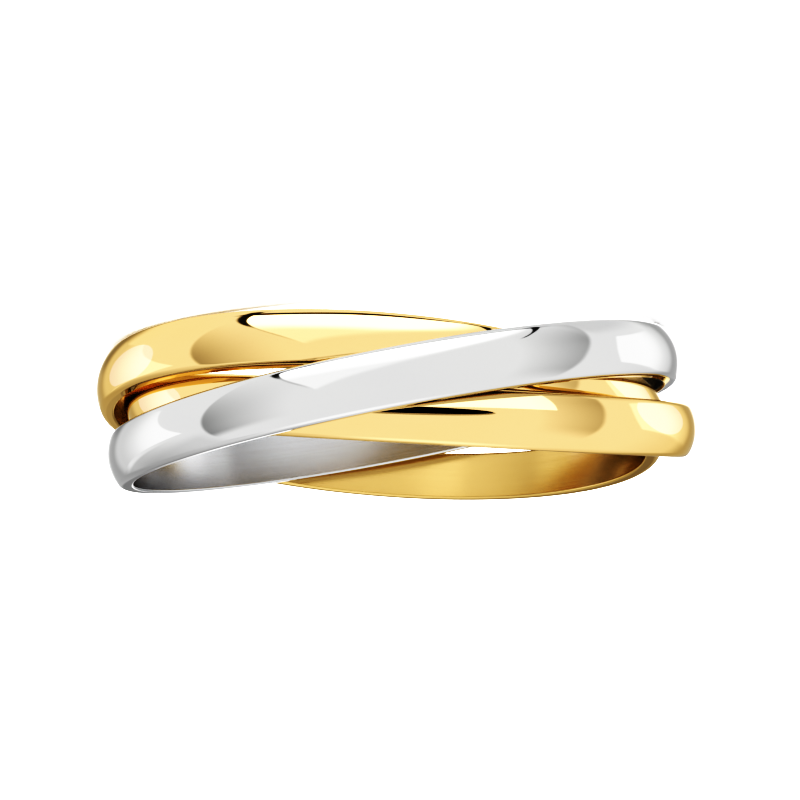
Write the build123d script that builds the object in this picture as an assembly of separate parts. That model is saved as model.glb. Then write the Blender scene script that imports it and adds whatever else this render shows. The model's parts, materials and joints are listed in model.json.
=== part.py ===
"""Rolling ring: three equal round bands, each linked through the other two, lying on its side.

The ring rests on z = 0 with +Z up, and the finger goes in along Z. The middle of the ring's outline is over
the origin, and -Y is the side that the ring is looked at from. Every band leans a little: it is high on one
side and touches the surface on the other. It is also shifted level, roughly square to the way it leans, so
that it passes outside one neighbour where they cross and inside the other. Lengths are in millimetres.
Angles are in degrees, and those about Z run from +X towards +Y.
"""
from build123d import *
import os
from itertools import permutations
from math import cos, hypot, radians, sin, sqrt

# Driving dimensions of one band
BAND_BORE = 18.6        # inner diameter
BAND_WIDTH = 1.85       # from edge to edge, along the band's own axis
WALL = 0.72             # from the bore to the top of the domed outside
DOME_RISE = 0.28        # how far the dome stands above the line of its two edges
OUTER_ROUND = 0.28      # radius of the two outer edges
BORE_ROUND = 0.09       # radius of the two bore edges

# Driving dimensions of the nest
RUNNING_GAP = 0.05      # left free between two bands where they cross
LEAN = 9.0              # angle of each band's plane from level
WHITE_HIGH = -8.0       # angle of the white band's high side
REAR_HIGH = 136.0       # angle of the rear gold band's high side
FRONT_HIGH = 235.0      # angle of the front gold band's high side
FIRST_SHIFT = -86.0     # angle of the side towards which the white band is shifted
SHIFT_TURN = 120.0      # angle from there to the side of the next band, and on to that of the last

HIGH_SIDES = {"white_band": WHITE_HIGH, "gold_band_rear": REAR_HIGH, "gold_band_front": FRONT_HIGH}
BORE_RADIUS = BAND_BORE / 2
OUTER_RADIUS = BORE_RADIUS + WALL
HALF_WIDTH = BAND_WIDTH / 2
DOME_RADIUS = (HALF_WIDTH**2 + DOME_RISE**2) / (2 * DOME_RISE)
EDGE_HEIGHT = WALL - DOME_RISE      # of the flat sides, from the bore to the line of the outer edges
SPREAD = 2 * sin(radians(SHIFT_TURN / 2))   # between two bands' middles, for a shift of 1
SECTION_STEPS = 12                  # points looked at on each side of the dome's top
FACING_ARC = 70                     # degrees each side of a crossing where two bands can face each other
ARC_STEP = 2                        # degrees between the places looked at there
SHIFT_STEPS = 10                    # of drawing the bands apart, by which the gap no longer changes


def band():
    """One band, with its axis on Z and its middle at the origin: flat bore, flat sides, domed outside."""
    edge_radius = BORE_RADIUS + EDGE_HEIGHT
    rounds = min(1, 0.95 * EDGE_HEIGHT / (OUTER_ROUND + BORE_ROUND))
    low_bore, high_bore = (BORE_RADIUS, -HALF_WIDTH), (BORE_RADIUS, HALF_WIDTH)
    low_edge, high_edge = (edge_radius, -HALF_WIDTH), (edge_radius, HALF_WIDTH)
    with BuildPart() as solid:
        with BuildSketch(Plane.XZ) as section:
            with BuildLine():
                Polyline(low_edge, low_bore, high_bore, high_edge)
                ThreePointArc(high_edge, (OUTER_RADIUS, 0), low_edge)
            make_face()
            corners = section.vertices().sort_by(Axis.X)
            fillet(corners[:2], rounds * BORE_ROUND)
            fillet(section.vertices().sort_by(Axis.X)[-2:], rounds * OUTER_ROUND)
        revolve(axis=Axis.Z)
    return solid.part


def dome_fall(height):
    """How far the dome has dropped from its top, at a height from the band's middle."""
    return DOME_RADIUS - sqrt(DOME_RADIUS**2 - height**2)


def axes_of(name):
    """Unit directions of a leaning band: up towards its high side, level across it, and along its axis."""
    high, lean = radians(HIGH_SIDES[name]), radians(LEAN)
    uphill = (cos(high) * cos(lean), sin(high) * cos(lean), sin(lean))
    level = (-sin(high), cos(high), 0)
    along_axis = (-cos(high) * sin(lean), -sin(high) * sin(lean), cos(lean))
    return uphill, level, along_axis


def centre_of(name, shift):
    """Middle of a band that is shifted by this much, seen from above."""
    way = radians(FIRST_SHIFT + SHIFT_TURN * list(HIGH_SIDES).index(name))
    return (shift * cos(way), shift * sin(way), 0)


def room_at_crossing(inner, outer, shift):
    """Least room between the inner band's dome and the outer band's bore, where they face each other.

    The bands cross halfway between their high sides. Points all over the dome near there are looked at in
    the frame of the outer band.
    """
    uphill, level, along_axis = axes_of(inner)
    offset = [a - b for a, b in zip(centre_of(inner, shift), centre_of(outer, shift))]
    crossing = 180 - ((HIGH_SIDES[inner] - HIGH_SIDES[outer]) % 360) / 2
    room = []
    for around in range(-FACING_ARC, FACING_ARC + 1, ARC_STEP):
        turn = radians(crossing + around)
        for step in range(-SECTION_STEPS, SECTION_STEPS + 1):
            height = HALF_WIDTH * step / SECTION_STEPS
            radius = OUTER_RADIUS - dome_fall(height)
            along, across = radius * cos(turn), radius * sin(turn)
            spot = [o + along * u + across * v + height * w
                    for o, u, v, w in zip(offset, uphill, level, along_axis)]
            x, y, z = (sum(a * b for a, b in zip(spot, axis)) for axis in axes_of(outer))
            if abs(z) <= HALF_WIDTH:
                room.append(BORE_RADIUS - hypot(x, y))
    return min(room)


def nest_shift():
    """How far each band stands from the middle of the nest, so that the tightest crossing has its gap."""
    shift = (WALL + RUNNING_GAP) / SPREAD
    for _ in range(SHIFT_STEPS):
        rooms = [room_at_crossing(*pair, shift) for pair in permutations(HIGH_SIDES, 2)]
        shift += (RUNNING_GAP - min(rooms)) / SPREAD
    return shift


def placed_band(name, shift):
    """The named band, leaning up towards its high side, shifted level, with its low side on z = 0."""
    leaning = Rot(0, 0, HIGH_SIDES[name]) * Rot(0, -LEAN, 0) * band()
    low_point = leaning.bounding_box().min.Z
    return Pos(centre_of(name, shift)) * Pos(0, 0, -low_point) * leaning


def ring():
    """All three bands by name, with the middle of their common outline over the origin."""
    shift = nest_shift()
    bands = {name: placed_band(name, shift) for name in HIGH_SIDES}
    boxes = [solid.bounding_box() for solid in bands.values()]
    middle_x = (min(box.min.X for box in boxes) + max(box.max.X for box in boxes)) / 2
    middle_y = (min(box.min.Y for box in boxes) + max(box.max.Y for box in boxes)) / 2
    return {name: Pos(-middle_x, -middle_y, 0) * solid for name, solid in bands.items()}


os.makedirs("parts", exist_ok=True)
for node, solid in ring().items():
    export_step(solid, f"parts/{node}.step")
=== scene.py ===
"""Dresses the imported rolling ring: three finely turned, mirror-polished bands in a plain, soft white studio.

Lengths are in metres and angles in radians, except where a name or a description says otherwise. The ring
rests on the floor at z = 0 with its middle over the origin, and the camera looks at its -Y side.
"""

import json
from math import atan2, cos, hypot, pi, radians, sin, sqrt

import bpy
import numpy as np
from bpy.props import FloatProperty, FloatVectorProperty, IntProperty, PointerProperty
from bpy.types import Operator, Panel, PropertyGroup
from mathutils import Matrix, Vector

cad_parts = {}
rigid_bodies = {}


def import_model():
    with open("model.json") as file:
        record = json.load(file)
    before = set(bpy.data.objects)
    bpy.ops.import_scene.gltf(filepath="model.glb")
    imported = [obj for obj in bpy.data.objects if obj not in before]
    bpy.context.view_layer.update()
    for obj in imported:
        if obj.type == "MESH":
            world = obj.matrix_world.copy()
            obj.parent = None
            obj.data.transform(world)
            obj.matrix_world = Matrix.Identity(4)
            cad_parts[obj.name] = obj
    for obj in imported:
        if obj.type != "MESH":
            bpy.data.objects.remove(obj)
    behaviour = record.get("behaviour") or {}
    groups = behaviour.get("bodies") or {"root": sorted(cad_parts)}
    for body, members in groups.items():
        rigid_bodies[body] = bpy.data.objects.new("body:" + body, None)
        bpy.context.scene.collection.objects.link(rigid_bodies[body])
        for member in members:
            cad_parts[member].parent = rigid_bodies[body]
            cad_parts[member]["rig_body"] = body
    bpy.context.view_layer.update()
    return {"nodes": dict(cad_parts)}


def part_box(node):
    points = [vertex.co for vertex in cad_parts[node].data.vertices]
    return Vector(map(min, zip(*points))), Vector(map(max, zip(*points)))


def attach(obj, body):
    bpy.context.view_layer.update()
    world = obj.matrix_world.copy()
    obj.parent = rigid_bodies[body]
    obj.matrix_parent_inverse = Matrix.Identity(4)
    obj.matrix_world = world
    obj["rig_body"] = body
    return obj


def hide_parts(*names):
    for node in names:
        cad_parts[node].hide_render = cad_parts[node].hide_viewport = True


bl_info = {
    "name": "Rolling Ring",
    "version": (1, 0, 0),
    "blender": (4, 5, 0),
    "location": "3D View > Sidebar > Rolling Ring",
    "description": "Polished white and yellow gold bands for a rolling ring, and the studio round it",
    "category": "Object",
}

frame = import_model()
MM = 0.001
WHITE_BAND = "white_band"
YELLOW_BANDS = ("gold_band_rear", "gold_band_front")

# The turned bands
PLACE = "place_on_band"         # each vertex's place in millimetres, with the band's axis on Z
ARC_STEPS = {"dome": 24, "outer_round": 9, "bore_round": 5}
SIZE_SLACK = 0.03 * MM          # most that a turned band may differ from the solid that it stands for
BORE_SLACK = 1.003              # the bore's points are within this many times the least radius

# The metals' fine patterns: how often each repeats in a millimetre along X, Y and the band's axis, and how
# finely it is broken up
DRIFT = ((0.22, 0.22, 0.5), 2.0)        # slow changes of tone
WIPES = ((0.5, 0.5, 16.0), 3.0)         # hairlines round the band
CROSS_WIPES = ((9.0, 2.0, 1.5), 3.0)    # hairlines across it
LATHE_LINES = ((0.15, 0.15, 24.0), 2.0)
WAVES = ((0.45, 0.45, 0.8), 1.0)        # of polishing by hand
DRIFT_ROUGHNESS, WIPE_ROUGHNESS, LATHE_ROUGHNESS = 0.012, 0.02, 0.06    # what each adds at its strongest
WIPE_DEPTH, LATHE_DEPTH = 0.00006, 0.0001       # in millimetres
SATIN_FULL, SATIN_GONE = 0.03, 0.10     # millimetres out from the bore: its satin starts to fade, and ends

# The studio
FLOOR_RINGS = (20 * MM, 100 * MM, 300 * MM)     # radii of the flat floor's rings of faces
FLOOR_SWEEP = 100 * MM          # radius of the sweep from the floor up into the wall
SWEEP_STEPS = 12
WALL_TOP = 300 * MM
FLOOR_FACETS = 96
FLOOR_LIGHT_SPREAD = radians(120)
LIGHT_DISTANCE = 150 * MM       # of the lights that some bands alone mirror, from the middle of the ring
# The picture's contrast: brightness in the scene, as a share of the white point, and in the picture
CONTRAST = ((0, 0), (0.147, 0.012), (0.187, 0.0245), (0.239, 0.052), (0.305, 0.119), (0.391, 0.25),
            (0.501, 0.456), (0.641, 0.716), (0.667, 0.76), (0.82, 0.956), (1, 1))


class BandSection(PropertyGroup):
    """Sizes of the bands' common section."""
    bore: FloatProperty(
        name="Bore", description="Inner diameter of each band",
        default=18.6 * MM, min=10 * MM, max=30 * MM, precision=5, unit="LENGTH", subtype="DISTANCE")
    width: FloatProperty(
        name="Width", description="From edge to edge, along the band's own axis",
        default=1.85 * MM, min=1 * MM, max=6 * MM, precision=5, unit="LENGTH", subtype="DISTANCE")
    wall: FloatProperty(
        name="Wall", description="From the bore to the top of the domed outside",
        default=0.72 * MM, min=0.4 * MM, max=2 * MM, precision=5, unit="LENGTH", subtype="DISTANCE")
    dome_rise: FloatProperty(
        name="Dome Rise", description="How far the dome stands above the line of its two edges",
        default=0.28 * MM, min=0.05 * MM, max=1 * MM, precision=5, unit="LENGTH", subtype="DISTANCE")
    outer_round: FloatProperty(
        name="Outer Round", description="Radius of the two outer edges",
        default=0.28 * MM, min=0.02 * MM, max=0.5 * MM, precision=5, unit="LENGTH", subtype="DISTANCE")
    bore_round: FloatProperty(
        name="Bore Round", description="Radius of the two bore edges",
        default=0.09 * MM, min=0.01 * MM, max=0.3 * MM, precision=5, unit="LENGTH", subtype="DISTANCE")
    facets: IntProperty(
        name="Facets", description="How many flat steps the band is turned in, all the way round",
        default=576, min=96, max=2048)


class MetalLook:
    """What the two metals' looks have in common."""
    roughness: FloatProperty(
        name="Roughness", description="Of the clean mirror polish",
        default=0.035, min=0, max=1, subtype="FACTOR")
    tone_drift: FloatProperty(
        name="Tone Drift", description="How much the metal's tone wanders over the surface",
        default=0.5, min=0, max=1, subtype="FACTOR")
    wipe_marks: FloatProperty(
        name="Wipe Marks", description="How strongly the polishing cloth's hairlines show",
        default=0.4, min=0, max=2)
    bore_marks: FloatProperty(
        name="Bore Marks", description="How strongly the lathe's lines show inside the band",
        default=1.0, min=0, max=3)
    bore_roughness: FloatProperty(
        name="Bore Roughness", description="What the satin inside of the band has above the outside",
        default=0.17, min=0, max=1, subtype="FACTOR")
    waviness: FloatProperty(
        name="Waviness", description="Height of the slow hand-polished waves",
        default=0.004 * MM, min=0, max=0.05 * MM, precision=6, unit="LENGTH", subtype="DISTANCE")


class WhiteGoldLook(MetalLook, PropertyGroup):
    """Finish of the white band."""
    colour: FloatVectorProperty(
        name="Colour", description="Polished white gold",
        default=(0.667, 0.667, 0.663), size=3, min=0, max=1, subtype="COLOR")
    deep_colour: FloatVectorProperty(
        name="Deep Colour", description="Where the tone drifts darker",
        default=(0.646, 0.646, 0.65), size=3, min=0, max=1, subtype="COLOR")
    bore_colour: FloatVectorProperty(
        name="Bore Colour", description="Satin white gold inside the band",
        default=(0.64, 0.643, 0.652), size=3, min=0, max=1, subtype="COLOR")
    edge_tint: FloatVectorProperty(
        name="Edge Tint",
        description="What the metal's rim keeps of the light that it mirrors at a slant",
        default=(0.95, 0.95, 0.95), size=3, min=0, max=1, subtype="COLOR")


class YellowGoldLook(MetalLook, PropertyGroup):
    """Finish of the two yellow bands."""
    colour: FloatVectorProperty(
        name="Colour", description="Polished yellow gold",
        default=(0.815, 0.655, 0.412), size=3, min=0, max=1, subtype="COLOR")
    deep_colour: FloatVectorProperty(
        name="Deep Colour", description="Where the tone drifts darker",
        default=(0.80, 0.635, 0.387), size=3, min=0, max=1, subtype="COLOR")
    bore_colour: FloatVectorProperty(
        name="Bore Colour", description="Satin yellow gold inside the band",
        default=(0.72, 0.575, 0.335), size=3, min=0, max=1, subtype="COLOR")
    edge_tint: FloatVectorProperty(
        name="Edge Tint",
        description="What the metal's rim keeps of the light that it mirrors at a slant",
        default=(0.97, 0.90, 0.74), size=3, min=0, max=1, subtype="COLOR")


class StudioSetting(PropertyGroup):
    """The floor, the light and the camera."""
    floor_colour: FloatVectorProperty(
        name="Floor", description="Colour of the plain floor",
        default=(0.90, 0.90, 0.90), size=3, min=0, max=1, subtype="COLOR")
    tent_light: FloatProperty(
        name="Tent", description="Brightness of the plain white tent round the ring",
        default=1.176, min=0, max=10)
    long_light: FloatProperty(
        name="Long Light", description="Brightness of the long soft light that lies low in front",
        default=2.0, min=0, max=10)
    side_light: FloatProperty(
        name="Side Lights", description="Brightness of the two soft lights at the sides",
        default=1.25, min=0, max=10)
    floor_light: FloatProperty(
        name="Floor Light",
        description="Strength of the light that keeps the floor white, in watts a square metre",
        default=7.0, min=0, max=20)
    white_point: FloatProperty(
        name="White Point", description="Brightness that the picture shows as white",
        default=1.155, min=0.1, max=4)
    low_light: FloatProperty(
        name="Low Light",
        description="Brightness of the small light that only the front yellow band mirrors",
        default=0.8, min=0, max=10)
    side_disc: FloatProperty(
        name="Side Discs",
        description="Brightness that each round light at the sides adds on the yellow bands",
        default=0.45, min=0, max=10)
    side_disc_colour: FloatVectorProperty(
        name="Side Disc Colour",
        description="A cool light, which makes the brightest patches of the gold whiter",
        default=(0.3, 0.35, 1.0), size=3, min=0, max=1, subtype="COLOR")
    camera_distance: FloatProperty(
        name="Camera Distance", description="From the lens to the point in the middle of the picture",
        default=68.99 * MM, min=30 * MM, max=1, precision=5, unit="LENGTH", subtype="DISTANCE")
    camera_azimuth: FloatProperty(
        name="Azimuth", description="Of the camera, from the ring's -Y side towards +X",
        default=radians(0.737), min=-pi, max=pi, unit="ROTATION", subtype="ANGLE")
    camera_elevation: FloatProperty(
        name="Elevation", description="Of the camera above the floor",
        default=radians(8.128), min=0, max=pi / 2, unit="ROTATION", subtype="ANGLE")
    camera_roll: FloatProperty(
        name="Roll", description="Turn of the camera about its own line of sight",
        default=radians(-178.023), min=-pi, max=pi, unit="ROTATION", subtype="ANGLE")
    camera_aim: FloatVectorProperty(
        name="Aim", description="Point in the middle of the picture",
        default=(-0.1566 * MM, 0.0753 * MM, 1.9086 * MM), size=3, precision=5, unit="LENGTH",
        subtype="XYZ")
    view_angle: FloatProperty(
        name="View Angle", description="Angle that the picture takes in across its width",
        default=radians(23.08), min=radians(5), max=radians(90), unit="ROTATION", subtype="ANGLE")


class Wire:
    """A node's socket that can be reckoned with: an expression on wires adds its Math nodes."""

    def __init__(self, bench, socket):
        self.bench, self.socket = bench, socket

    def _maths(self, operation, *values):
        return self.bench.add("Math", {"operation": operation}, *values).out()

    def __add__(self, other):
        return self._maths("ADD", self, other)

    def __sub__(self, other):
        return self._maths("SUBTRACT", self, other)

    def __rsub__(self, other):
        return self._maths("SUBTRACT", other, self)

    def __mul__(self, other):
        return self._maths("MULTIPLY", self, other)

    def __truediv__(self, other):
        return self._maths("DIVIDE", self, other)

    def __pow__(self, other):
        return self._maths("POWER", self, other)

    def __neg__(self):
        return self._maths("MULTIPLY", self, -1.0)

    def __abs__(self):
        return self._maths("ABSOLUTE", self)

    __radd__, __rmul__ = __add__, __mul__


class Bench:
    """A node tree that nodes are added to and wired up in."""
    # A Mix node's sockets for colours, which share their names with others
    FIRST_COLOUR, SECOND_COLOUR, MIXED_COLOUR = 6, 7, 2

    def __init__(self, tree):
        self.tree = tree
        tree.nodes.clear()

    class Placed:
        """A node on the bench, whose outputs come out as wires."""

        def __init__(self, bench, node):
            self.bench, self.node = bench, node

        def out(self, name=0):
            return Wire(self.bench, self.node.outputs[name])

    def add(self, kind, settings=None, *values, **named):
        """Adds a shader node of this kind, with its settings first and then its sockets' values or wires.

        Values in order go to the sockets in order. Named ones go to the socket of that name, with _ for a
        space.
        """
        node = self.tree.nodes.new("ShaderNode" + kind)
        for setting, value in (settings or {}).items():
            setattr(node, setting, value)
        for key, value in enumerate(values):
            self.feed(node.inputs[key], value)
        for key, value in named.items():
            self.feed(node.inputs[key.replace("_", " ")], value)
        return self.Placed(self, node)

    def feed(self, socket, value):
        """Gives a socket a wire or a value, which is three numbers for a colour."""
        if isinstance(value, Wire):
            self.tree.links.new(value.socket, socket)
        else:
            socket.default_value = (*value, 1) if socket.type == "RGBA" else value

    def ease(self, value, low, high):
        """0 where value is at or before low, 1 at or past high, a soft S between. Low may be the larger."""
        settings = {"interpolation_type": "SMOOTHSTEP", "clamp": True}
        return self.add("MapRange", settings, value, low, high).out()

    def over(self, value, floor):
        """How far the value is above the floor, and 0 below it."""
        return self.add("Math", {"operation": "MAXIMUM"}, value - floor, 0.0).out()

    def within(self, value, low, high, soft):
        """1 between low and high, 0 outside them, with each edge this soft."""
        return self.ease(value, low - soft, low + soft) * self.ease(value, high + soft, high - soft)

    def grain(self, vector, repeats, detail):
        """Noise from 0 to 1, which repeats about this often in one unit of the vector along X, Y and Z."""
        stretched = self.add("VectorMath", {"operation": "MULTIPLY"}, vector, repeats).out()
        settings = {"noise_dimensions": "3D", "normalize": True}
        noise = self.add("TexNoise", settings, Vector=stretched, Scale=1.0, Detail=detail, Roughness=0.5)
        return noise.out("Fac")

    def blended(self, first, second, factor):
        """Colour that goes from the first to the second with the factor."""
        mix = self.add("Mix", {"data_type": "RGBA", "clamp_factor": True}, factor)
        self.feed(mix.node.inputs[self.FIRST_COLOUR], first)
        self.feed(mix.node.inputs[self.SECOND_COLOUR], second)
        return mix.out(self.MIXED_COLOUR)


def polished_metal(name, look, bore):
    """Mirror-polished metal with slow tone drift, cloth hairlines, lathe lines in the bore and slow waves."""
    material = bpy.data.materials.new(name)
    material.use_nodes = True
    bench = Bench(material.node_tree)
    spot = bench.add("Attribute", {"attribute_name": PLACE}).out("Vector")
    parts = bench.add("SeparateXYZ", None, spot)
    from_axis = (parts.out("X") ** 2 + parts.out("Y") ** 2) ** 0.5
    in_bore = bench.ease(from_axis, bore / 2 / MM + SATIN_GONE, bore / 2 / MM + SATIN_FULL)

    drift = bench.grain(spot, *DRIFT)
    wiped = bench.grain(spot, *WIPES)
    crossed = bench.grain(spot, *CROSS_WIPES)
    turned = bench.grain(spot, *LATHE_LINES)
    waves = bench.grain(spot, *WAVES)

    colour = bench.blended(tuple(look.colour), tuple(look.deep_colour),
                           bench.ease(drift, 0.35, 0.75) * look.tone_drift)
    colour = bench.blended(colour, tuple(look.bore_colour), in_bore)
    wipes = bench.ease(wiped, 0.55, 0.85) + bench.ease(crossed, 0.6, 0.85)
    lathe = look.bore_roughness + bench.ease(turned, 0.4, 0.8) * (LATHE_ROUGHNESS * look.bore_marks)
    roughness = (look.roughness + wipes * (WIPE_ROUGHNESS * look.wipe_marks) + lathe * in_bore
                 + bench.ease(drift, 0.5, 0.8) * DRIFT_ROUGHNESS)

    hairlines = wiped * (WIPE_DEPTH * look.wipe_marks) + turned * in_bore * (LATHE_DEPTH * look.bore_marks)
    relief = waves * (look.waviness / MM) + hairlines
    bump = bench.add("Bump", None, Height=relief, Distance=MM, Strength=1.0)
    shader = bench.add("BsdfPrincipled", None, Base_Color=colour, Metallic=1.0, Roughness=roughness,
                       Specular_Tint=tuple(look.edge_tint), Normal=bump.out("Normal"))
    bench.add("OutputMaterial", None, Surface=shader.out("BSDF"))
    return material


def section_outline(section):
    """The section's outline, once round: rows of radius, height, and the outward direction's two parts."""
    bore_radius, half = section.bore / 2, section.width / 2
    dome_radius = (half**2 + section.dome_rise**2) / (2 * section.dome_rise)
    dome_middle = bore_radius + section.wall - dome_radius
    outer, inner = section.outer_round, section.bore_round
    outer_middle = (dome_middle + sqrt((dome_radius - outer) ** 2 - (half - outer) ** 2), half - outer)
    meets = atan2(outer_middle[1], outer_middle[0] - dome_middle)
    arcs = (
        ((dome_middle, 0), dome_radius, -meets, meets, "dome"),
        (outer_middle, outer, meets, pi / 2, "outer_round"),
        ((bore_radius + inner, half - inner), inner, pi / 2, pi, "bore_round"),
        ((bore_radius + inner, inner - half), inner, pi, 3 * pi / 2, "bore_round"),
        ((outer_middle[0], -outer_middle[1]), outer, -pi / 2, -meets, "outer_round"),
    )
    rows = []
    for (middle, height), radius, start, end, kind in arcs:
        steps = ARC_STEPS[kind]
        for i in range(steps + 1):
            turn = start + (end - start) * i / steps
            row = (middle + radius * cos(turn), height + radius * sin(turn), cos(turn), sin(turn))
            if not rows or hypot(row[0] - rows[-1][0], row[1] - rows[-1][1]) > 1e-9:
                rows.append(row)
    if hypot(rows[0][0] - rows[-1][0], rows[0][1] - rows[-1][1]) < 1e-9:
        rows.pop()
    return np.array(rows)


def seat_of(node):
    """Where a node's solid is: the turn from the band's own axes to the world's, and its middle."""
    mesh = frame["nodes"][node].data
    points = np.empty(len(mesh.vertices) * 3)
    mesh.vertices.foreach_get("co", points)
    points = points.reshape(-1, 3)
    mesh.calc_loop_triangles()
    corners = np.empty(len(mesh.loop_triangles) * 3, int)
    mesh.loop_triangles.foreach_get("vertices", corners)

    # The solid's middle and how far it spreads, summed over the pyramids from one point to each triangle
    a, b, c = (points[corners[k::3]] for k in range(3))
    share = np.einsum("ij,ij->i", a, np.cross(b, c))
    middle = (share[:, None] * (a + b + c)).sum(0) / share.sum() / 4
    a, b, c = a - middle, b - middle, c - middle
    share = np.einsum("ij,ij->i", a, np.cross(b, c))
    spread = sum(np.einsum("i,ij,ik->jk", share, v, v) for v in (a, b, c, a + b + c))

    # The axis is the way that it spreads least, and its high side is where it leans up
    axis = np.linalg.eigh(spread)[1][:, 0]
    axis *= np.sign(axis[2])
    high_side = np.cross(np.cross(axis, (0, 0, 1)), axis)
    high_side /= np.linalg.norm(high_side)
    level = np.cross(axis, high_side)

    # The middle again, finer: of a circle through the bore's points, and halfway between the two flat sides
    away = points - middle
    height, along, across = away @ axis, away @ high_side, away @ level
    bore = np.hypot(along, across) < np.hypot(along, across).min() * BORE_SLACK
    table = np.column_stack([2 * along[bore], 2 * across[bore], np.ones(bore.sum())])
    shift = np.linalg.lstsq(table, along[bore] ** 2 + across[bore] ** 2, rcond=None)[0]
    middle = middle + shift[0] * high_side + shift[1] * level + (height.min() + height.max()) / 2 * axis
    return np.column_stack([high_side, level, axis]), middle


def turned_band(name, node, section, material):
    """A finely turned band with true normals, standing for a node's solid and riding on its body."""
    outline, facets = section_outline(section), section.facets
    around = np.arange(facets) * 2 * pi / facets
    radius, height, out, up = (outline[:, k] for k in range(4))

    def swept(sideways, upwards):
        """The outline's rows, each with a sideways and an upwards part, taken round the band's axis."""
        turned = [np.outer(np.cos(around), sideways), np.outer(np.sin(around), sideways),
                  np.broadcast_to(upwards, (facets, len(outline)))]
        return np.stack(turned, -1).reshape(-1, 3)

    spots, normals = swept(radius, height), swept(out, up)
    turn, middle = seat_of(node)
    corners = spots @ turn.T + middle
    count = len(outline)
    faces = [(i * count + j, i2 * count + j, i2 * count + j2, i * count + j2)
             for i in range(facets) for i2 in ((i + 1) % facets,)
             for j in range(count) for j2 in ((j + 1) % count,)]
    mesh = bpy.data.meshes.new(name)
    mesh.from_pydata(corners.tolist(), [], faces)
    mesh.polygons.foreach_set("use_smooth", [True] * len(mesh.polygons))
    mesh.attributes.new(PLACE, "FLOAT_VECTOR", "POINT").data.foreach_set("vector", (spots / MM).ravel())
    mesh.normals_split_custom_set_from_vertices((normals @ turn.T).tolist())
    mesh.materials.append(material)
    band = bpy.data.objects.new(name, mesh)
    bpy.context.scene.collection.objects.link(band)

    low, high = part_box(node)
    off = max(abs(corners.min(0) - low).max(), abs(corners.max(0) - high).max())
    if off > SIZE_SLACK:
        raise RuntimeError(f"{name} is {off / MM:.3f} mm off the solid of {node}: match the section to it")
    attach(band, frame["nodes"][node]["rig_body"])
    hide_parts(node)


class RING_OT_white_band(Operator):
    """Turn the white band and give it its polished white gold"""
    bl_idname = "ring.white_band"
    bl_label = "White Band"

    def execute(self, context):
        section = context.scene.ring_section
        metal = polished_metal("white_gold_polish", context.scene.ring_white_gold, section.bore)
        turned_band("polished_white_band", WHITE_BAND, section, metal)
        return {"FINISHED"}


class RING_OT_yellow_bands(Operator):
    """Turn the two yellow bands and give them their polished yellow gold"""
    bl_idname = "ring.yellow_bands"
    bl_label = "Yellow Bands"

    def execute(self, context):
        section = context.scene.ring_section
        metal = polished_metal("yellow_gold_polish", context.scene.ring_yellow_gold, section.bore)
        for node in YELLOW_BANDS:
            turned_band(f"polished_{node}", node, section, metal)
        return {"FINISHED"}


class RING_OT_studio(Operator):
    """Lay the floor, light the ring and set up the camera"""
    bl_idname = "ring.studio"
    bl_label = "Studio"

    def execute(self, context):
        setting = context.scene.ring_studio
        lay_floor(setting)
        light_studio(setting)
        grade_picture(setting)
        place_camera(setting)
        return {"FINISHED"}


def lay_floor(setting):
    """A wide round floor that sweeps up into a wall, so that no horizon shows. It isn't mirrored."""
    reach = FLOOR_RINGS[-1]
    rings = [(radius, 0.0) for radius in FLOOR_RINGS]
    rings += [(reach + FLOOR_SWEEP * sin(rise), FLOOR_SWEEP - FLOOR_SWEEP * cos(rise))
              for rise in np.linspace(0, pi / 2, SWEEP_STEPS + 1)[1:]]
    rings.append((reach + FLOOR_SWEEP, WALL_TOP))
    around = [2 * pi * i / FLOOR_FACETS for i in range(FLOOR_FACETS)]
    spots = [(0, 0, 0)]
    spots += [(radius * cos(turn), radius * sin(turn), z) for radius, z in rings for turn in around]
    sides = [(i, (i + 1) % FLOOR_FACETS) for i in range(FLOOR_FACETS)]
    faces = [(0, 1 + i, 1 + i2) for i, i2 in sides]
    for ring in range(len(rings) - 1):
        inner, outer = 1 + ring * FLOOR_FACETS, 1 + (ring + 1) * FLOOR_FACETS
        faces += [(inner + i, outer + i, outer + i2, inner + i2) for i, i2 in sides]
    mesh = bpy.data.meshes.new("floor")
    mesh.from_pydata(spots, [], faces)
    mesh.polygons.foreach_set("use_smooth", [True] * len(mesh.polygons))
    material = bpy.data.materials.new("studio_floor")
    material.use_nodes = True
    bench = Bench(material.node_tree)
    shader = bench.add("BsdfDiffuse", None, Color=tuple(setting.floor_colour))
    bench.add("OutputMaterial", None, Surface=shader.out())
    mesh.materials.append(material)
    floor = bpy.data.objects.new("floor", mesh)
    floor.visible_glossy = False
    bpy.context.scene.collection.objects.link(floor)


def laid(under, over, mask):
    """One brightness with another laid over it where the mask is 1."""
    return under + (over - under) * mask


def surround(bench, setting):
    """Brightness of the studio round the ring in every direction: a white tent with its lights and gaps.

    Angles are in degrees. turn goes round from the front, positive towards -X, and dip is how far a
    direction points down. The picture is taken with the camera rolled over, so the lights that are lowest
    here are at the top of it. Each brightness is a share of the plain tent's.
    """
    way = bench.add("SeparateXYZ", None, bench.add("TexCoord").out("Generated"))
    turn = bench.add("Math", {"operation": "ARCTAN2"}, -way.out("X"), -way.out("Y")).out() * (180 / pi)
    dip = bench.add("Math", {"operation": "ARCSINE"}, -way.out("Z")).out() * (180 / pi)
    light = folds(bench, turn, dip, tent(bench, turn, dip))
    light = backdrop(bench, turn, dip, light)
    light = side_lights(bench, turn, dip, light, setting.side_light)
    light = long_light(bench, turn, dip, light, setting.long_light)
    return light * setting.tent_light


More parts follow.
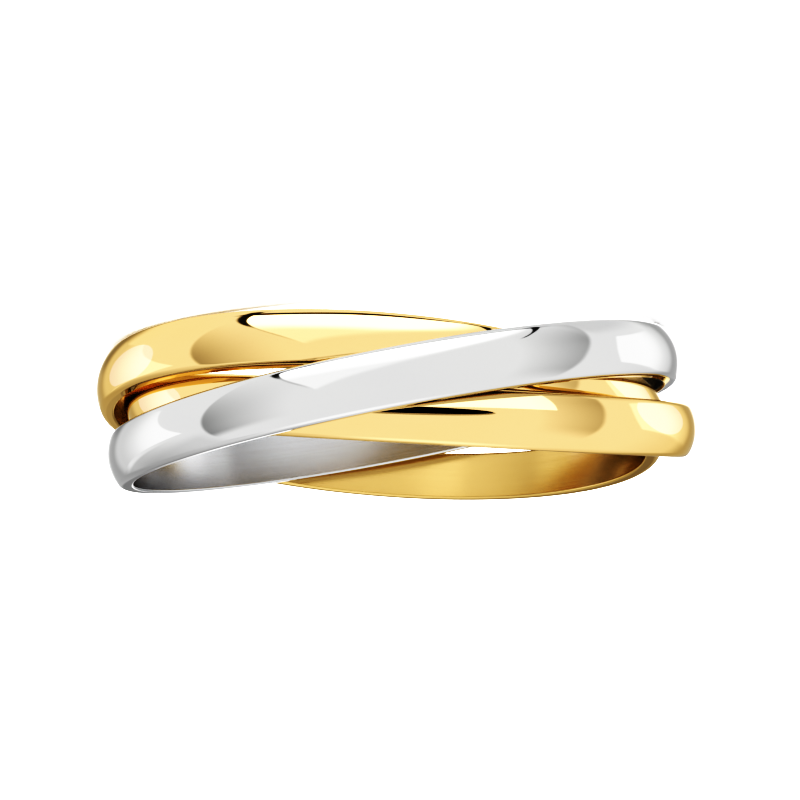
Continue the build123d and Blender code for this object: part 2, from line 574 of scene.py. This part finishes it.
def tent(bench, turn, dip):
    """The plain cloth: a little brighter overhead, and a little darker in soft patches at its sides."""
    ease = bench.ease
    light = 1.0 + 0.25 * ease(dip, -60, -86)
    for darker, patch in (
            (0.12, ease(turn, -76, -88) * ease(dip, -16, -30) * ease(dip, -84, -60)),
            (0.24, ease(turn, -88, -132) * ease(dip, -14, -17) * ease(dip, -64, -38)),
            (0.10, ease(turn, 100, 140) * ease(dip, -5, -9) * ease(dip, -80, -50)),
            (0.12, ease(turn, 88, 98) * ease(dip, 30, 42) * ease(dip, 80, 60))):
        light = light * (1 - patch * darker)
    return light


def folds(bench, turn, dip, light):
    """A fold in the cloth on each side, dark at its outer edge and fading towards the front."""
    ease, over = bench.ease, bench.over
    left_fold = (over(-38 - turn, 0) / 40) ** 1.35
    left_fold = left_fold * ease(turn, -80.2, -78.0) * ease(dip, -39, -27) * ease(dip, 52, -12)
    low = over(dip, 0)
    right_edge = low * low * 0.006 + dip * 0.05 + 80
    right_fold = over(1 - over(84 - turn, 0) / 34, 0)
    right_fold = (right_fold * ease(turn, right_edge + 1.6, right_edge - 1.6)
                  * ease(dip, -36, -14) * ease(dip, 66, 24))
    return light * (1 - left_fold * 0.44) * (1 - right_fold * 0.37)


def backdrop(bench, turn, dip, light):
    """Behind the ring: a grey gap on each side, and between them a cloth with strips of light and shade."""
    aside, ease, within = abs(turn), bench.ease, bench.within
    for brightness, patch in (
            (0.60, ease(aside, 133, 149) * ease(dip, -44, -27) * ease(dip, 39, 30)),
            (0.44, ease(turn, -143, -153) * ease(dip, 9, 16) * ease(dip, 40, 30)),
            (0.85, ease(turn, -156, -166) * ease(dip, -2, 3) * ease(dip, 36, 30)),
            (1.40, (ease(turn, 155, 164) + ease(turn, -166, -180)) * ease(dip, 2, 8) * ease(dip, 32, 20)),
            (0.50, ease(turn, 160, 168) * ease(turn, 180, 172) * within(dip, -24, 1, 3)),
            (0.40, ease(aside, 166, 173) * within(dip, -26, -17, 3)),
            (0.42, ease(turn, -167, -172) * within(dip, -10, 1, 3)),
            (1.20, (ease(turn, -174.6, -177.6) + ease(turn, 173, 180)) * within(dip, -12, 6, 4))):
        light = laid(light, brightness, patch)
    return light


def side_lights(bench, turn, dip, light, brightness):
    """A soft light at each side, a third dimmer at its back end."""
    ease, within = bench.ease, bench.within
    left_start = -99 - dip * 0.7
    left = (within(dip, -12, 25, 0.8) * ease(turn, -150, -136)
            * ease(turn, left_start + 0.8, left_start - 0.8))
    right_start = 98 + 0.018 * (dip - 10) ** 2
    right = (within(dip, -6, 27, 1.2) * ease(turn, 148, 138)
             * ease(turn, right_start - 1, right_start + 1))
    light = laid(light, brightness * (1 - 0.34 * ease(turn, -103, -140)), left)
    return laid(light, brightness * (1 - 0.34 * ease(turn, 118, 146)), right)


def long_light(bench, turn, dip, light, brightness):
    """The long soft light, low in front, with a soft sill, and black flags at its ends and its far side."""
    ease, over, within = bench.ease, bench.over, bench.within
    left_end = -28 - dip * 0.35 - dip * dip * 0.0095
    right_end = 50 + 1.5 * over(dip, 40)
    far_side = 74 - turn * turn * 0.0018
    opening = (ease(turn, left_end - 0.8, left_end + 0.8) * ease(turn, right_end + 0.8, right_end - 0.8)
               * ease(dip, far_side + 0.8, far_side - 0.8))
    sill = 5.9 * over(turn, -31) ** 0.5 - 3
    light = laid(light, 1.15, opening * ease(dip, sill - 4, sill + 8))
    light = laid(light, brightness, opening * ease(dip, sill, sill + 10) * ease(dip, 32, 50))

    past = over(dip, 38)
    left_flag = (ease(turn, left_end - 2 - 0.5 * past, left_end - 1 - 0.3 * past)
                 * ease(turn, left_end + 0.8, left_end - 0.8) * within(dip, 8, 68, 3)
                 * (0.25 * ease(dip, 6, 24) + 0.75 * ease(dip, 36, 46)))
    flag_end = right_end + 1.5 + 0.06 * over(dip, 48) ** 2
    right_flag = (ease(turn, right_end - 0.8, right_end + 0.8) * ease(turn, flag_end + 1, flag_end - 1)
                  * within(dip, 44, 66, 2))
    far_flag = within(dip, far_side, far_side + 5.0, 0.8) * ease(abs(turn), 98, 92)
    for flag in (left_flag, right_flag, far_flag):
        light = laid(light, 0.1, flag)
    return light


def light_studio(setting):
    """The tent that the metal mirrors, a light that only the floor shows, and the yellow bands' lights."""
    world = bpy.data.worlds.new("studio")
    bpy.context.scene.world = world
    world.use_nodes = True
    bench = Bench(world.node_tree)
    background = bench.add("Background", None, Color=(1.0, 1.0, 1.0), Strength=surround(bench, setting))
    bench.add("OutputWorld", None, Surface=background.out())

    data = bpy.data.lights.new("floor_light", "SUN")
    data.energy, data.angle = setting.floor_light, FLOOR_LIGHT_SPREAD
    light = bpy.data.objects.new("floor_light", data)
    light.visible_glossy = False
    bpy.context.scene.collection.objects.link(light)
    light_front_band(setting)
    light_yellow_bands(setting)


def light_front_band(setting):
    """A flat soft light, low in front, and a soft-edged black flag under it, for the front yellow band."""
    lit = bpy.data.collections.new("lit_by_low_light")
    lit.objects.link(bpy.data.objects["polished_gold_band_front"])
    tent_light = setting.tent_light
    hang_light("low_light", "RECTANGLE", setting.low_light, size=(155, 78), place=(29, 24.5, 6), lit=lit)
    hang_light("low_flag", "ELLIPSE", -0.6 * tent_light, size=(172, 32), place=(1, -1.2, 5), lit=lit)
    hang_light("low_flag_rim", "ELLIPSE", -0.5 * tent_light, size=(178, 40), place=(1, -3.2, 5), lit=lit)


def light_yellow_bands(setting):
    """Two cool round lights, one in the other, in the middle of each side light, for the yellow bands."""
    lit = bpy.data.collections.new("lit_by_side_discs")
    for node in YELLOW_BANDS:
        lit.objects.link(bpy.data.objects[f"polished_{node}"])
    for side, place in (("left", (-115.5, 6.5, 0)), ("right", (116.5, 10.5, 0))):
        for width in (70, 94):
            hang_light(f"{side}_disc_{width}", "ELLIPSE", setting.side_disc, size=(width, width),
                       place=place, lit=lit, colour=setting.side_disc_colour)


def hang_light(name, shape, brightness, size, place, lit, colour=(1, 1, 1)):
    """A flat light of this brightness, and of this size in millimetres, that only the lit pieces mirror.

    Its place is how far round it is from the front, how far down, and how far it is turned about its own
    middle, in degrees. A brightness below 0 takes light away, as a black flag does.
    """
    turn, dip, tilt = (radians(angle) for angle in place)
    way = Vector((-sin(turn) * cos(dip), -cos(turn) * cos(dip), -sin(dip)))
    data = bpy.data.lights.new(name, "AREA")
    data.shape, data.size, data.size_y = shape, size[0] * MM, size[1] * MM
    area = size[0] * MM * size[1] * MM * (pi / 4 if shape == "ELLIPSE" else 1)
    data.energy, data.color = brightness * pi * area, colour
    light = bpy.data.objects.new(name, data)
    light.location = way * LIGHT_DISTANCE
    light.rotation_mode = "QUATERNION"
    light.rotation_quaternion = way.to_track_quat("Z", "Y") @ Matrix.Rotation(tilt, 3, "Z").to_quaternion()
    light.visible_camera = False
    light.light_linking.receiver_collection = lit
    bpy.context.scene.collection.objects.link(light)


def grade_picture(setting):
    """The picture's white point and its contrast."""
    grade = bpy.context.scene.view_settings
    grade.view_transform = "Standard"
    grade.use_curve_mapping = True
    grade.curve_mapping.white_level = (setting.white_point,) * 3
    *_, all_colours = grade.curve_mapping.curves
    for point in CONTRAST[1:-1]:
        all_colours.points.new(*point)
    grade.curve_mapping.update()


def place_camera(setting):
    """The camera, at the distance, angle and roll of the setting."""
    data = bpy.data.cameras.new("camera")
    data.sensor_width = 36
    data.angle = setting.view_angle
    data.clip_start, data.clip_end = 1 * MM, 10
    camera = bpy.data.objects.new("camera", data)
    bpy.context.scene.collection.objects.link(camera)
    turn, rise = setting.camera_azimuth, setting.camera_elevation
    back = Vector((sin(turn) * cos(rise), -cos(turn) * cos(rise), sin(rise)))
    camera.rotation_mode = "QUATERNION"
    level = back.to_track_quat("Z", "Y")
    camera.rotation_quaternion = level @ Matrix.Rotation(-setting.camera_roll, 3, "Z").to_quaternion()
    camera.location = Vector(setting.camera_aim) + back * setting.camera_distance
    bpy.context.scene.camera = camera


class RING_PT_panel(Panel):
    """Sizes, finishes and studio of the rolling ring"""
    bl_label = "Rolling Ring"
    bl_space_type = "VIEW_3D"
    bl_region_type = "UI"
    bl_category = "Rolling Ring"

    def draw(self, context):
        scene = context.scene
        for title, group, operators in (
                ("Section", scene.ring_section, ()),
                ("White gold", scene.ring_white_gold, (RING_OT_white_band,)),
                ("Yellow gold", scene.ring_yellow_gold, (RING_OT_yellow_bands,)),
                ("Studio", scene.ring_studio, (RING_OT_studio,))):
            box = self.layout.box()
            box.label(text=title)
            for name in group.bl_rna.properties.keys():
                if name not in ("rna_type", "name"):
                    box.prop(group, name)
            for operator in operators:
                box.operator(operator.bl_idname)


CLASSES = (BandSection, WhiteGoldLook, YellowGoldLook, StudioSetting,
           RING_OT_white_band, RING_OT_yellow_bands, RING_OT_studio, RING_PT_panel)
GROUPS = {"ring_section": BandSection, "ring_white_gold": WhiteGoldLook, "ring_yellow_gold": YellowGoldLook,
          "ring_studio": StudioSetting}


def register():
    for cls in CLASSES:
        bpy.utils.register_class(cls)
    for name, group in GROUPS.items():
        setattr(bpy.types.Scene, name, PointerProperty(type=group))


def unregister():
    for name in GROUPS:
        delattr(bpy.types.Scene, name)
    for cls in reversed(CLASSES):
        bpy.utils.unregister_class(cls)


def main():
    register()
    bpy.ops.ring.white_band()
    bpy.ops.ring.yellow_bands()
    bpy.ops.ring.studio()


if __name__ == "__main__":
    main()
